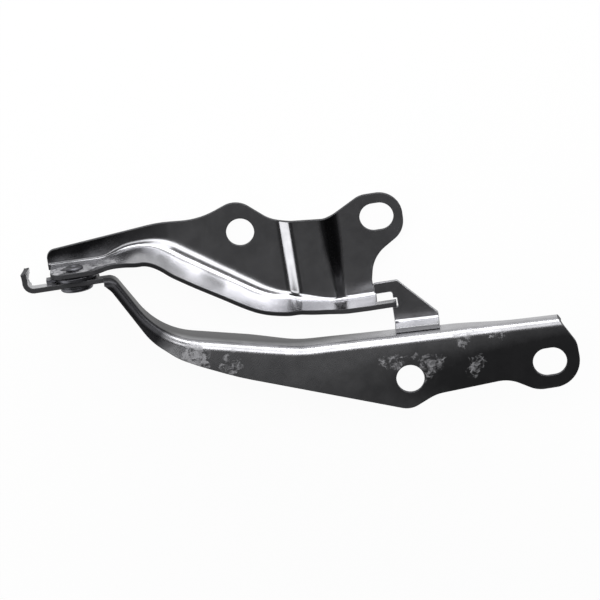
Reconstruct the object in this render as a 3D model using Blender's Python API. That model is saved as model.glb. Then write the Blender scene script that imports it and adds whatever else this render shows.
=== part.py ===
"""Bonnet hinge: a pressed body bracket and a pressed bonnet arm on one riveted pivot.

Both arms are one L of sheet steel each, swept along its own curved plan line. The body
bracket's flange bolts to the car and its web stands up; the bonnet arm's flange lies on
top, under the bonnet, and its web hangs down. A hooked catch welded to the arm drops over
a tongue on the bracket when the bonnet shuts. X runs along the hinge from the pivot to
the bonnet's front, Y is the pivot axis, Z is up, and the shut hinge is the rest pose.
All sizes are in millimetres and become metres where a mesh is made. They are given from
the pivot; at the end everything moves so that the frame's origin lies on the bracket's
bolting face, beside its round hole.
"""
import math

import bpy
from mathutils import Vector

MM = 0.001

# Sheet, and the gaps between pieces
SHEET = 2.5
SEAT_GAP = 0.3
RADIAL_GAP = 0.3

# Pivot: one rivet through both webs, with X 0 on its axis and heights above the bolting face
PIVOT_Z = 14.0
SHANK_D = 7.0
HEAD_D = 16.4
HEAD_T = 2.0
HEAD_EDGE = 0.6
END_D = 9.4
END_T = 1.3
END_EDGE = 0.9
DIMPLE_D = 4.2
DIMPLE_T = 0.7
DIMPLE_EDGE = 0.5
WASHER_D = 17.0
WASHER_T = 0.6
SPACER_D = 21.0
SPACER_T = 1.6
SPACER_EAR_W = 6.0
SPACER_EAR_REACH = 14.6
BUSH_WALL = 1.4

# Stack along the pivot axis, from the bracket's open face towards the rivet head
BRACKET_FACE = 8.9
BRACKET_BACK = BRACKET_FACE - SHEET
SPACER_FACE = BRACKET_BACK - SEAT_GAP
SPACER_BACK = SPACER_FACE - SPACER_T
ARM_FACE = SPACER_BACK - SEAT_GAP
ARM_BACK = ARM_FACE - SHEET
WASHER_FACE = ARM_BACK - SEAT_GAP
WASHER_BACK = WASHER_FACE - WASHER_T
HEAD_FACE = WASHER_BACK - SEAT_GAP
HEAD_BACK = HEAD_FACE - HEAD_T
END_FACE = BRACKET_FACE + SEAT_GAP

# Bolt openings: a round hole and a slot in each flange, placed from the pivot
BOLT_D = 14.0
SLOT_LENGTH = 17.0
BODY_HOLE_REACH = 84.3
BODY_PITCH = 68.5
BODY_SIDE = 9.2
BODY_HOLE_OUT = 2.7
BONNET_REACH = 227.9
BONNET_PITCH = 70.0
BONNET_SIDE = 68.7
BONNET_HOLE_IN = 2.2
BODY_SLOT = (BODY_HOLE_REACH + BODY_PITCH, BODY_SIDE)
BODY_HOLE = (BODY_HOLE_REACH, BODY_SIDE + BODY_HOLE_OUT)
BONNET_SLOT = (BONNET_REACH, -BONNET_SIDE)
BONNET_HOLE = (BONNET_REACH - BONNET_PITCH, BONNET_HOLE_IN - BONNET_SIDE)
SEAT_BESIDE = 4.0

# Sheet left round the bolt openings
BODY_HOLE_MARGIN = 8.1
BODY_SLOT_MARGIN = 4.9
BONNET_HOLE_MARGIN = 7.4
BONNET_SLOT_MARGIN = 6.9

# Body bracket: flange levels, with a tip that slopes down and a raised bridge between the pads
FLANGE_TOP = SHEET
TIP_X = -13.4
TIP_Y = 16.3
TIP_R = 4.5
TIP_SLOPE_FROM = 48.8
TIP_SLOPE = 4.0
BRIDGE_RISE = 3.0
BRIDGE_FROM_HOLE = 20.0
BRIDGE_FROM_SLOT = 20.0
BRIDGE_UP_RUN = 5.0
BRIDGE_DOWN_RUN = 7.5

# Body bracket: web and its tongue
PIVOT_WEB_TOP = 22.6
WEB_END_X = -12.2
WEB_END_R = 7.0
FLANGE_BEFORE_SLOT = 7.2
TONGUE_Y = -30.2
TONGUE_IN_SLOT = 4.9
TONGUE_LOW = 17.5
TONGUE_TOP = 24.0
TONGUE_ROOT = 0.9
RELIEF_X = (4.6, 10.6)
RELIEF_TOP = 7.6
RELIEF_R = 1.5
RELIEF_REACH = 0.4
GAUGE_HOLE = (-5.6, 12.6)
GAUGE_HOLE_D = 2.4

# Body bracket: corners of its fold in plan as (x, y, radius). In the first three, x and
# radius are shares of the way from the pivot to the round hole; the last counts its x from
# the slot.
FOLD_AT_PIVOT = (0.17556, BRACKET_FACE, 0.23725)
FOLD_OUT = (0.4567, 16.6, 0.3796)
FOLD_IN = (1.11388, -21.8, 0.4745)
FOLD_AT_TONGUE = (-24.0, TONGUE_Y, 60.0)

# Body bracket: bend radius, tilt of the web in degrees and height of its edge, along X
BRACKET_BEND = ((12.8, 1.5), (31.8, 3.5), (54.8, 7.0), (84.8, 6.0), (114.8, 4.2), (121.8, 2.0))
BRACKET_TILT = ((14.8, 0.0), (32.8, 18.0), (54.8, 30.0), (80.8, 28.0), (140.8, 0.5))
BRACKET_EDGE = ((8.8, PIVOT_WEB_TOP), (16.8, 19.0), (32.8, 17.7), (60.8, 17.4), (96.8, 16.3),
                (120.8, 19.2), (142.8, TONGUE_TOP))

# Bonnet arm: flange level, web depth and pivot end
ARM_TOP = 40.0
ARM_NECK_TOP = 27.0
ARM_RISE_FROM = 15.8
ARM_RISE_TO = 54.8
ARM_RISE_SOFTNESS = 1.0
ARM_BEND_R = 4.5
ARM_WEB_LOW = 17.0
ARM_EDGE_TOP = 22.5
BOSS_R = 12.0
TAIL_LOW = 15.3
NECK_END_X = 32.8
FLANGE_START = (17.4, -2.4)
FLANGE_START_SLANT = 3.0
FLANGE_START_R = 0.8
ARM_END_PAST_SLOT = 6.7
ARM_END_Y = -46.4
ARM_END_R = 4.0

# Bonnet arm: corners of its fold in plan as (x, y, radius), and its far end as (x, y), with
# x counted from the slot
NECK_FOLD = (19.6, ARM_FACE, 6.0)
SWAN_FOLD = (37.6, -26.8, 38.0)
FRONT_FOLD = (105.8, -42.5, 60.0)
END_FOLD = (20.9, -47.9)

# Bonnet arm: lower edge of its web as (x, height); the last three count x from the holes
ARM_EDGE = ((13.8, -2.0), (16.8, ARM_WEB_LOW), (78.8, ARM_WEB_LOW), (103.8, 20.8))
ARM_EDGE_AT_HOLE = ((-4.1, 22.6), (20.9, 24.8))
ARM_EDGE_AT_SLOT = (-13.1, 31.0)

# Corners of the flanges' lugs as (along, across, radius) from the middle of their bolt opening
BODY_SIDE_EDGE = (-39.5, 11.0, 60.0)
BODY_HOLE_LUG = ((-19.5, 9.4, 40.0), (0.6, 17.0, 12.0), (17.0, 2.9, 18.0))
BODY_SLOT_NECK = (-23.5, 3.1, 14.0)
BODY_SLOT_CORNER_X = -7.0
BODY_SLOT_HEEL = ((-0.6, -9.2), (-4.6, -20.0, 18.0))
ARM_SIDE_EDGE = ((33.0, -29.6, 30.0), (45.3, -39.4, 30.0), (73.8, -52.6, 150.0))
BONNET_HOLE_LUG = ((-2.2, -15.8, 11.0), (11.6, -9.9, 20.0))
BONNET_SLOT_LUG = ((-21.4, -5.7, 18.0), (-8.4, -13.5, 14.0))
BONNET_SLOT_TIP = (-0.6, 7.6, 10.0)

# Opening stop: the tail's finger lands on the bracket's flange tip
OPEN_ANGLE = 44.0
STOP_GAP = 0.35
FINGER_X = -23.5
FINGER_TIP_Y = 12.2
FINGER_SPLAY = 1.4
FINGER_LEAN = 9.5
FINGER_BEND_R = 3.5
FINGER_ROOT = 1.2

# Catch hook, welded to the arm's web; its pocket fits round the bracket's tongue
CATCH_TOP = 20.0
CATCH_GAP = 1.1
CATCH_LEG_TOP = 33.0
CATCH_BEND_R = 1.5
CATCH_OVERLAP = 2.3
CATCH_HOOK_REACH = 7.8
CATCH_HOOK_LOW = 4.4
CATCH_HOOK_W = 5.4
CATCH_LENGTH = 22.1
CATCH_APEX = 4.3
CATCH_LIP = 1.0
CATCH_CORNER_R = 1.2
POCKET_R = 0.4

# Fineness of the curves
ARC_STEP = 9.0
PATH_STEP = 4.0
ROUND_SIDES = 48
BEYOND = 60.0

PLATED = ((0.2, 0.2, 0.205), 0.3, 1.0)
SATIN = ((0.05, 0.05, 0.052), 0.4, 1.0)
BRONZE = ((0.22, 0.17, 0.10), 0.45, 1.0)


def clear_scene():
    for thing in list(bpy.data.objects):
        bpy.data.objects.remove(thing, do_unlink=True)


def material(name, look):
    color, roughness, metallic = look
    made = bpy.data.materials.new(name)
    made.use_nodes = True
    shader = made.node_tree.nodes["Principled BSDF"]
    shader.inputs["Base Color"].default_value = (*color, 1.0)
    shader.inputs["Roughness"].default_value = roughness
    shader.inputs["Metallic"].default_value = metallic
    return made


def make_object(name, points, faces, look=None):
    """An object from points in millimetres; without a look it is a cutter."""
    mesh = bpy.data.meshes.new(name)
    mesh.from_pydata([Vector(point) * MM for point in points], [], faces)
    mesh.validate()
    made = bpy.data.objects.new(name, mesh)
    bpy.context.collection.objects.link(made)
    if look is None:
        made.hide_render = True
        made.display_type = "WIRE"
    else:
        mesh.materials.append(material(name + "_finish", look))
    return made


def ease(low, high, value):
    """A smooth step from 0 at low to 1 at high."""
    share = min(1.0, max(0.0, (value - low) / (high - low)))
    return share * share * (3.0 - 2.0 * share)


def follow(keys, x):
    """A value that passes smoothly through a few (x, value) keys."""
    if x <= keys[0][0]:
        return keys[0][1]
    for (x0, v0), (x1, v1) in zip(keys, keys[1:]):
        if x <= x1:
            return v0 + (v1 - v0) * ease(x0, x1, x)
    return keys[-1][1]


def rounded(corners, closed=True):
    """Points of a line whose corners (x, y, radius) are rounded by arcs."""
    count = len(corners)
    points = []
    for index, (x, y, radius) in enumerate(corners):
        here = Vector((x, y))
        is_end = not closed and index in (0, count - 1)
        if radius <= 0.0 or is_end:
            points.append(here)
            continue
        before = (Vector(corners[index - 1][:2]) - here).normalized()
        after = (Vector(corners[(index + 1) % count][:2]) - here).normalized()
        half = before.angle(after) / 2.0
        centre = here + (before + after).normalized() * (radius / math.sin(half))
        start = here + before * (radius / math.tan(half)) - centre
        turn = math.pi - 2.0 * half
        side = 1.0 if before.x * after.y - before.y * after.x < 0.0 else -1.0
        steps = max(1, math.ceil(math.degrees(turn) / ARC_STEP))
        for step in range(steps + 1):
            angle = side * turn * step / steps
            cosine, sine = math.cos(angle), math.sin(angle)
            points.append(centre + Vector((start.x * cosine - start.y * sine,
                                           start.x * sine + start.y * cosine)))
    return points


def arc(centre, radius, first, last):
    """Points on a circle between two angles in degrees."""
    steps = max(1, math.ceil(abs(last - first) / ARC_STEP))
    angles = [math.radians(first + (last - first) * step / steps) for step in range(steps + 1)]
    return [(centre[0] + radius * math.cos(angle), centre[1] + radius * math.sin(angle))
            for angle in angles]


def walk(corners):
    """Stations (point, direction) along a rounded open line, no more than a step apart."""
    line = rounded(corners, closed=False)
    dense = [line[0]]
    for start, end in zip(line, line[1:]):
        pieces = max(1, math.ceil((end - start).length / PATH_STEP))
        dense += [start.lerp(end, step / pieces) for step in range(1, pieces + 1)]
    stations = []
    for index, point in enumerate(dense):
        ahead = dense[min(index + 1, len(dense) - 1)]
        behind = dense[max(index - 1, 0)]
        stations.append((point, (ahead - behind).normalized()))
    return stations


def prism(name, outline, axis, low, high, look=None):
    """A closed outline pushed along Y or Z; in XZ outlines the second number is Z."""
    def place(point, level):
        return (point[0], level, point[1]) if axis == "Y" else (point[0], point[1], level)
    count = len(outline)
    area = sum(a[0] * b[1] - b[0] * a[1] for a, b in zip(outline, list(outline[1:]) + [outline[0]]))
    ring = list(outline) if (area > 0) == (axis == "Z") else list(reversed(outline))
    points = [place(point, low) for point in ring] + [place(point, high) for point in ring]
    faces = [tuple(reversed(range(count))), tuple(range(count, 2 * count))]
    faces += [(i, (i + 1) % count, count + (i + 1) % count, count + i) for i in range(count)]
    return make_object(name, points, faces, look)


def turned(name, profile, look):
    """A body turned about the pivot axis from (radius, y) points that run up its outer side."""
    points = []
    rings = []
    for radius, y in profile:
        if radius <= 0.0:
            rings.append([len(points)])
            points.append((0.0, y, PIVOT_Z))
            continue
        rings.append(list(range(len(points), len(points) + ROUND_SIDES)))
        for side in range(ROUND_SIDES):
            angle = 2.0 * math.pi * side / ROUND_SIDES
            points.append((radius * math.cos(angle), y, PIVOT_Z + radius * math.sin(angle)))
    faces = []
    closed = profile[0][0] > 0.0
    pairs = list(zip(rings, rings[1:] + rings[:1])) if closed else list(zip(rings, rings[1:]))
    for low, high in pairs:
        for side in range(ROUND_SIDES):
            after = (side + 1) % ROUND_SIDES
            if len(low) == 1:
                faces.append((low[0], high[side], high[after]))
            elif len(high) == 1:
                faces.append((low[after], low[side], high[0]))
            else:
                faces.append((low[after], low[side], high[side], high[after]))
    return make_object(name, points, faces, look)


def l_section(bend_r, lean, reach_up, flange_edge):
    """An L from the flange's free edge to the web's: (across, up) from the bend's corner.

    Lean is the web's tilt away from the flange, in degrees.
    """
    tilt = math.radians(lean)
    run = bend_r * math.tan((math.pi / 2.0 - tilt) / 2.0)
    sweep = 90.0 - lean
    steps = 6
    points = [(flange_edge, 0.0)]
    for step in range(steps + 1):
        angle = math.radians(-90.0 - sweep * step / steps)
        points.append((run + bend_r * math.cos(angle), bend_r + bend_r * math.sin(angle)))
    points.append((-reach_up * math.tan(tilt), reach_up))
    return points


def l_sheet(name, path, side, up, level, bend_r, lean, web_edge, flange_y, look):
    """A sheet L swept along a plan line.

    side is +1 where the flange lies left of the line; up is +1 where the web stands up
    from the flange and -1 where it hangs down. level, bend_r, lean and web_edge are
    functions of the station's point.
    """
    points = []
    stations = walk(path)
    for point, direction in stations:
        across = Vector((-direction.y, direction.x)) * side
        reach = abs(web_edge(point) - level(point.x))
        section = l_section(bend_r(point), lean(point), reach, 0.0)
        fold = point + across * section[1][0]
        points.append((fold.x, flange_y, level(fold.x)))
        for offset, rise in section[1:]:
            place = point + across * offset
            base = level(place.x) if rise < reach - 0.001 else level(point.x)
            points.append((place.x, place.y, base + up * rise))
    wide = len(section)
    faces = []
    for row in range(len(stations) - 1):
        for column in range(wide - 1):
            first = row * wide + column
            quad = (first, first + 1, first + wide + 1, first + wide)
            faces.append(quad if side * up > 0 else tuple(reversed(quad)))
    made = make_object(name, points, faces, look)
    solid = made.modifiers.new("sheet", "SOLIDIFY")
    solid.thickness = SHEET * MM
    solid.offset = -1.0 if up > 0 else 1.0
    if side * up < 0:
        solid.offset = -solid.offset
    solid.use_even_offset = True
    return made


def boolean(target, tool, operation):
    change = target.modifiers.new(tool.name, "BOOLEAN")
    change.operation = operation
    change.object = tool
    change.solver = "EXACT"


def smooth(made):
    made.data.shade_smooth()
    made.data.set_sharp_from_angle(angle=math.radians(35.0))


def bolt_cutter(name, centre, length):
    """A round hole's cutter, or a slot's that is longer along X, through a flange."""
    radius = BOLT_D / 2.0
    half = (length - BOLT_D) / 2.0
    outline = arc((centre[0] + half, centre[1]), radius, -90.0, 90.0)
    outline += arc((centre[0] - half, centre[1]), radius, 90.0, 270.0)[1 if half == 0.0 else 0:]
    if half == 0.0:
        outline = outline[:-1]
    return prism(name, outline, "Z", -BEYOND, BEYOND + ARM_TOP)


def bore_cutter(name, x, z, diameter, low, high):
    """A round cutter along Y."""
    return prism(name, arc((x, z), diameter / 2.0, 0.0, 360.0)[:-1], "Y", low, high)


def bracket_level(x):
    """Height of the bracket flange's top: level pads, a raised bridge, a tip that slopes down."""
    sloped = max(0.0, TIP_SLOPE_FROM - x) * math.tan(math.radians(TIP_SLOPE))
    start = BODY_HOLE[0] + BRIDGE_FROM_HOLE
    end = BODY_SLOT[0] - BRIDGE_FROM_SLOT
    bridge = ease(start, start + BRIDGE_UP_RUN, x) - ease(end - BRIDGE_DOWN_RUN, end, x)
    return FLANGE_TOP - sloped + BRIDGE_RISE * bridge


def slot_lug_end():
    """X of the front end of the lug round the body slot."""
    return BODY_SLOT[0] + SLOT_LENGTH / 2.0 + BODY_SLOT_MARGIN


def flange_end():
    """X where the bracket's flange ends beside the tongue."""
    return BODY_SLOT[0] - FLANGE_BEFORE_SLOT


def tongue_end():
    """X of the free end of the bracket's tongue."""
    return BODY_SLOT[0] + SLOT_LENGTH / 2.0 - TONGUE_IN_SLOT


def beside(place, corner):
    """A corner (x, y, radius) that is given from another place."""
    return (place[0] + corner[0], place[1] + corner[1], *corner[2:])


def bracket_path():
    """Plan line of the corner between the bracket's flange and the open face of its web."""
    folds = [(x * BODY_HOLE_REACH, y, radius * BODY_HOLE_REACH)
             for x, y, radius in (FOLD_AT_PIVOT, FOLD_OUT, FOLD_IN)]
    at_tongue = (BODY_SLOT[0] + FOLD_AT_TONGUE[0], *FOLD_AT_TONGUE[1:])
    return [(TIP_X - 2.0 * SHEET, BRACKET_FACE, 0.0), *folds, at_tongue,
            (slot_lug_end() + SHEET, TONGUE_Y, 0.0)]


def bracket_outline():
    """Plan outline of the bracket's flange; its web side stays open beyond the web."""
    hole_lug = BODY_HOLE[1] + BOLT_D / 2.0 + BODY_HOLE_MARGIN
    slot_lug = BOLT_D / 2.0 + BODY_SLOT_MARGIN
    across = BODY_SLOT[1] + slot_lug
    right = slot_lug_end()
    before, crown, after = [beside(BODY_HOLE, corner) for corner in BODY_HOLE_LUG]
    crown = (crown[0], max(crown[1], hole_lug), crown[2])
    heel, foot = BODY_SLOT_HEEL
    return rounded([
        (TIP_X, -BEYOND, 0.0),
        (TIP_X, TIP_Y, TIP_R),
        beside(BODY_HOLE, BODY_SIDE_EDGE), before, crown, after,
        beside(BODY_SLOT, BODY_SLOT_NECK),
        (BODY_SLOT[0] + BODY_SLOT_CORNER_X, across, slot_lug),
        (right, across, slot_lug),
        (right + heel[0], BODY_SLOT[1] + heel[1], slot_lug),
        beside(BODY_SLOT, foot),
        (flange_end(), TONGUE_Y + 3.0 * SHEET, 0.0),
        (flange_end(), TONGUE_Y + 2.0 * SHEET, 0.0),
        (tongue_end(), TONGUE_Y + 2.0 * SHEET, 0.0),
        (tongue_end(), -BEYOND, 0.0)])


def make_bracket():
    """The body bracket: flange down on the car, web up, tongue at its front end."""
    bracket = l_sheet("body_bracket", bracket_path(), 1.0, 1.0, bracket_level,
                      lambda at: follow(BRACKET_BEND, at.x), lambda at: follow(BRACKET_TILT, at.x),
                      lambda at: follow(BRACKET_EDGE, at.x), BEYOND, PLATED)
    outline = prism("bracket_outline", bracket_outline(), "Z", -BEYOND, BEYOND)
    boolean(bracket, outline, "INTERSECT")
    corner = (WEB_END_X + WEB_END_R, PIVOT_WEB_TOP - WEB_END_R)
    clear = bracket_level(WEB_END_X) + RELIEF_REACH
    past = TIP_X - BEYOND
    left = [(past, clear), (WEB_END_X, clear)]
    left += arc(corner, WEB_END_R, 180.0, 90.0)
    left += [(corner[0], BEYOND), (past, BEYOND)]
    behind, ahead = BRACKET_BACK - SHEET, BRACKET_FACE + SHEET
    web_end = prism("web_end_cutter", left, "Y", behind, BRACKET_FACE + RELIEF_REACH)
    boolean(bracket, web_end, "DIFFERENCE")
    root, end = flange_end() + TONGUE_ROOT, tongue_end() + SHEET
    under = [(root, -BEYOND), (end, -BEYOND), (end, TONGUE_LOW), (root, TONGUE_LOW)]
    boolean(bracket, prism("tongue_cutter", under, "Y", -BEYOND, TONGUE_Y + SHEET), "DIFFERENCE")
    relief = rounded([(RELIEF_X[0], -BEYOND, 0.0), (RELIEF_X[1], -BEYOND, 0.0),
                      (RELIEF_X[1], RELIEF_TOP, RELIEF_R), (RELIEF_X[0], RELIEF_TOP, RELIEF_R)])
    relief_cut = prism("relief_cutter", relief, "Y", behind, BRACKET_FACE - RELIEF_REACH)
    boolean(bracket, relief_cut, "DIFFERENCE")
    boolean(bracket, bolt_cutter("body_hole_cutter", BODY_HOLE, BOLT_D), "DIFFERENCE")
    boolean(bracket, bolt_cutter("body_slot_cutter", BODY_SLOT, SLOT_LENGTH), "DIFFERENCE")
    bore_d = SHANK_D + 2.0 * RADIAL_GAP
    bore = bore_cutter("bracket_bore_cutter", 0.0, PIVOT_Z, bore_d, behind, ahead)
    boolean(bracket, bore, "DIFFERENCE")
    gauge = bore_cutter("gauge_hole_cutter", *GAUGE_HOLE, GAUGE_HOLE_D, behind, ahead)
    boolean(bracket, gauge, "DIFFERENCE")
    smooth(bracket)


def arm_level(x):
    """Height of the arm flange's top: low at the neck, up a gooseneck, then level."""
    full = ARM_TOP - ARM_NECK_TOP
    share = (x - ARM_RISE_FROM) * full / (ARM_RISE_TO - ARM_RISE_FROM)
    lifted = 0.5 * (share + math.hypot(share, ARM_RISE_SOFTNESS))
    short = full - lifted
    return ARM_TOP - 0.5 * (short + math.hypot(short, ARM_RISE_SOFTNESS))


def finger_low():
    """Lower edge of the tail's finger: its corner meets the flange tip at the open angle."""
    turn = math.radians(OPEN_ANGLE)
    slope = math.tan(math.radians(FINGER_LEAN))
    face = FINGER_X - FINGER_SPLAY + (ARM_NECK_TOP - PIVOT_Z) * slope
    reach = STOP_GAP - TIP_X
    return PIVOT_Z + (face * math.cos(turn) + reach) / (math.sin(turn) + slope * math.cos(turn))


def arm_end():
    """X of the front end of the arm's web."""
    return BONNET_SLOT[0] + ARM_END_PAST_SLOT


def arm_path():
    """Plan line of the outer face of the arm's web, from the finger's tip to the front end."""
    end_x, end_y = END_FOLD
    return [(FINGER_X - FINGER_SPLAY, FINGER_TIP_Y, 0.0), (FINGER_X, ARM_FACE, FINGER_BEND_R),
            NECK_FOLD, SWAN_FOLD, FRONT_FOLD, (BONNET_SLOT[0] + end_x, end_y, 0.0)]


def arm_face_at(x):
    """Y of the arm web's outer face on its straight front run."""
    (x0, y0, _), (x1, y1, _) = arm_path()[-2:]
    return y0 + (y1 - y0) * (x - x0) / (x1 - x0)


def finger_lean(at):
    """The finger twists: its lower edge stands nearer the pivot towards the tip."""
    if at.x > FINGER_X + FINGER_BEND_R:
        return 0.0
    return FINGER_LEAN * ease(ARM_FACE, FINGER_TIP_Y, at.y)


def arm_outline():
    """Plan outline of the arm's flange, wider than its web on the pivot side."""
    start_x, start_y = FLANGE_START
    slot_lug = BOLT_D / 2.0 + BONNET_SLOT_MARGIN
    right = BONNET_SLOT[0] + SLOT_LENGTH / 2.0 + BONNET_SLOT_MARGIN
    before_slot, slot_crown = [beside(BONNET_SLOT, corner) for corner in BONNET_SLOT_LUG]
    tip = BONNET_SLOT_TIP
    behind = ARM_BACK - RADIAL_GAP * 3.0
    beyond_tip = FINGER_TIP_Y + SHEET
    return rounded([
        (-BEYOND, beyond_tip, 0.0),
        (-BEYOND, behind, 0.0),
        (start_x - FLANGE_START_SLANT, behind, 0.0),
        (start_x, start_y, FLANGE_START_R),
        *ARM_SIDE_EDGE,
        *[beside(BONNET_HOLE, corner) for corner in BONNET_HOLE_LUG],
        before_slot, slot_crown,
        (right, slot_crown[1], slot_lug),
        (right + tip[0], BONNET_SLOT[1] + tip[1], tip[2]),
        (arm_end(), ARM_END_Y, ARM_END_R),
        (arm_end(), beyond_tip, 0.0)])


def arm_web_edge(at):
    """Height of the web's lower edge."""
    hole = [(BONNET_HOLE[0] + x, z) for x, z in ARM_EDGE_AT_HOLE]
    x, z = ARM_EDGE_AT_SLOT
    return follow([*ARM_EDGE, *hole, (BONNET_SLOT[0] + x, z)], at.x)


def arm_edge_cut():
    """Side outline of what is cut away below the arm's pivot end, as XZ points."""
    join = math.degrees(math.asin((TAIL_LOW - PIVOT_Z) / BOSS_R))
    neck = math.degrees(math.asin((ARM_WEB_LOW - PIVOT_Z) / BOSS_R))
    root = FINGER_X + FINGER_ROOT
    outline = [(-BEYOND, finger_low()), (root, finger_low()), (root, TAIL_LOW)]
    outline += arc((0.0, PIVOT_Z), BOSS_R, 180.0 - join, 360.0 + neck)
    outline += [(NECK_END_X, ARM_WEB_LOW), (NECK_END_X, -BEYOND), (-BEYOND, -BEYOND)]
    return outline


def make_arm():
    """The bonnet arm: tail with its stop finger, boss, swan neck, flange with two lugs."""
    arm = l_sheet("hood_arm", arm_path(), -1.0, -1.0, arm_level, lambda at: ARM_BEND_R, finger_lean,
                  arm_web_edge, -2.0 * BEYOND, PLATED)
    boolean(arm, prism("arm_outline", arm_outline(), "Z", -BEYOND, BEYOND + ARM_TOP), "INTERSECT")
    start = FLANGE_START[0] - FLANGE_START_SLANT - RADIAL_GAP
    above = [(-BEYOND, ARM_EDGE_TOP), (start, ARM_EDGE_TOP), (start, BEYOND), (-BEYOND, BEYOND)]
    boolean(arm, prism("pivot_edge_cutter", above, "Y", -BEYOND, BEYOND), "DIFFERENCE")
    boolean(arm, prism("arm_edge_cutter", arm_edge_cut(), "Y", -BEYOND, BEYOND), "DIFFERENCE")
    boolean(arm, bolt_cutter("bonnet_hole_cutter", BONNET_HOLE, BOLT_D), "DIFFERENCE")
    boolean(arm, bolt_cutter("bonnet_slot_cutter", BONNET_SLOT, SLOT_LENGTH), "DIFFERENCE")
    bore_d = SHANK_D + 2.0 * (2.0 * RADIAL_GAP + BUSH_WALL)
    bore = bore_cutter("arm_bore_cutter", 0.0, PIVOT_Z, bore_d, ARM_BACK - SHEET, ARM_FACE + SHEET)
    boolean(arm, bore, "DIFFERENCE")
    smooth(arm)


def catch_x():
    """X of the catch's hook end, plate edge, apex and right end, from the bracket's tongue."""
    body = tongue_end() - CATCH_OVERLAP
    return body - CATCH_HOOK_REACH, body, body + CATCH_APEX, body + CATCH_LENGTH


def catch_outline():
    """Plan outline of the catch: a plate with a hook round the bracket's tongue."""
    hook_x, body_x, apex_x, right_x = catch_x()
    tongue_face = TONGUE_Y + CATCH_GAP
    tongue_back = TONGUE_Y - SHEET - CATCH_GAP
    pocket_end = tongue_end() + CATCH_GAP
    lip_x = body_x + CATCH_LIP
    hook_low = TONGUE_Y + CATCH_HOOK_LOW
    hook_high = hook_low + CATCH_HOOK_W
    return rounded([
        (body_x, -BEYOND, 0.0),
        (right_x, -BEYOND, 0.0),
        (right_x, arm_face_at(right_x) + 2.0 * SHEET, 0.0),
        (apex_x, hook_high, CATCH_CORNER_R),
        (hook_x, hook_high, CATCH_CORNER_R),
        (hook_x, hook_low, CATCH_CORNER_R),
        (lip_x, hook_low, CATCH_CORNER_R),
        (lip_x, tongue_face, 0.0),
        (pocket_end, tongue_face, POCKET_R),
        (pocket_end, tongue_back, POCKET_R),
        (body_x, tongue_back, POCKET_R)])


def make_catch():
    """The catch: plate level with the tongue, and a leg that stands on the arm's web."""
    offset = SEAT_GAP + SHEET
    hook_x, _, _, right_x = catch_x()
    start, end = hook_x - SHEET, right_x + SHEET
    path = [(start, arm_face_at(start) + offset, 0.0), (end, arm_face_at(end) + offset, 0.0)]
    catch = l_sheet("catch_hook", path, 1.0, 1.0, lambda x: CATCH_TOP, lambda at: CATCH_BEND_R,
                    lambda at: 0.0, lambda at: CATCH_LEG_TOP, 0.0, PLATED)
    boolean(catch, prism("catch_outline", catch_outline(), "Z", 0.0, BEYOND), "INTERSECT")
    smooth(catch)


def make_pivot():
    """Rivet, bush and head washer, all turned about the pivot axis."""
    shank, head, end, dimple = SHANK_D / 2.0, HEAD_D / 2.0, END_D / 2.0, DIMPLE_D / 2.0
    end_top = END_FACE + END_T
    rivet = turned("pivot_rivet", [
        (0.0, HEAD_BACK), (head - HEAD_EDGE, HEAD_BACK), (head, HEAD_BACK + HEAD_EDGE),
        (head, HEAD_FACE), (shank, HEAD_FACE), (shank, END_FACE), (end, END_FACE),
        (end - END_EDGE, end_top), (dimple, end_top), (dimple - DIMPLE_EDGE, end_top - DIMPLE_T),
        (0.0, end_top - DIMPLE_T)], SATIN)
    inner = shank + RADIAL_GAP
    outer = inner + BUSH_WALL
    bush = turned("pivot_bush", [
        (inner, ARM_BACK), (outer, ARM_BACK), (outer, ARM_FACE), (inner, ARM_FACE)], BRONZE)
    washer = turned("head_washer", [
        (inner, WASHER_BACK), (WASHER_D / 2.0, WASHER_BACK), (WASHER_D / 2.0, WASHER_FACE),
        (inner, WASHER_FACE)], SATIN)
    for made in (rivet, bush, washer):
        smooth(made)


def make_spacer():
    """The spacer between the two webs, with an ear past the end of the bracket's web."""
    side = math.degrees(math.asin(SPACER_EAR_W / SPACER_D))
    low, high = PIVOT_Z - SPACER_EAR_W / 2.0, PIVOT_Z + SPACER_EAR_W / 2.0
    outline = arc((0.0, PIVOT_Z), SPACER_D / 2.0, 180.0 - side, side - 180.0)
    outline += [(-SPACER_EAR_REACH, low), (-SPACER_EAR_REACH, high)]
    spacer = prism("spacer_disc", outline, "Y", SPACER_BACK, SPACER_FACE, SATIN)
    bore = bore_cutter("spacer_bore_cutter", 0.0, PIVOT_Z, SHANK_D + 2.0 * RADIAL_GAP,
                       SPACER_BACK - SHEET, SPACER_FACE + SHEET)
    boolean(spacer, bore, "DIFFERENCE")
    smooth(spacer)


def set_frame():
    """Moves the frame's origin to the bracket's bolting face, beside its round hole.

    The moving pieces turn about the pivot, so their own origins lie on its axis.
    """
    pivot = Vector((0.0, ARM_FACE, PIVOT_Z)) * MM
    seat = Vector((BODY_HOLE[0], BODY_HOLE[1] - BOLT_D / 2.0 - SEAT_BESIDE, FLANGE_TOP - SHEET)) * MM
    for name in ("hood_arm", "catch_hook", "pivot_bush"):
        piece = bpy.data.objects[name]
        for vertex in piece.data.vertices:
            vertex.co -= pivot
        piece.location = pivot
    for thing in bpy.data.objects:
        thing.location -= seat


def main():
    clear_scene()
    make_bracket()
    make_arm()
    make_catch()
    make_pivot()
    make_spacer()
    set_frame()


main()
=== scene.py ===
"""Bonnet hinge: pressed steel body bracket and bonnet arm, plated black, on one rivet.

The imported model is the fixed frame. This file dresses it: each pressing is modelled again
with rounded cut edges and drawn bends, each finish is a procedural material, and a plain
pale stage with soft light stands round it. Lengths are metres in the row's frame.
"""
import math

import bmesh
import bpy
from mathutils import Matrix, Vector


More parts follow.
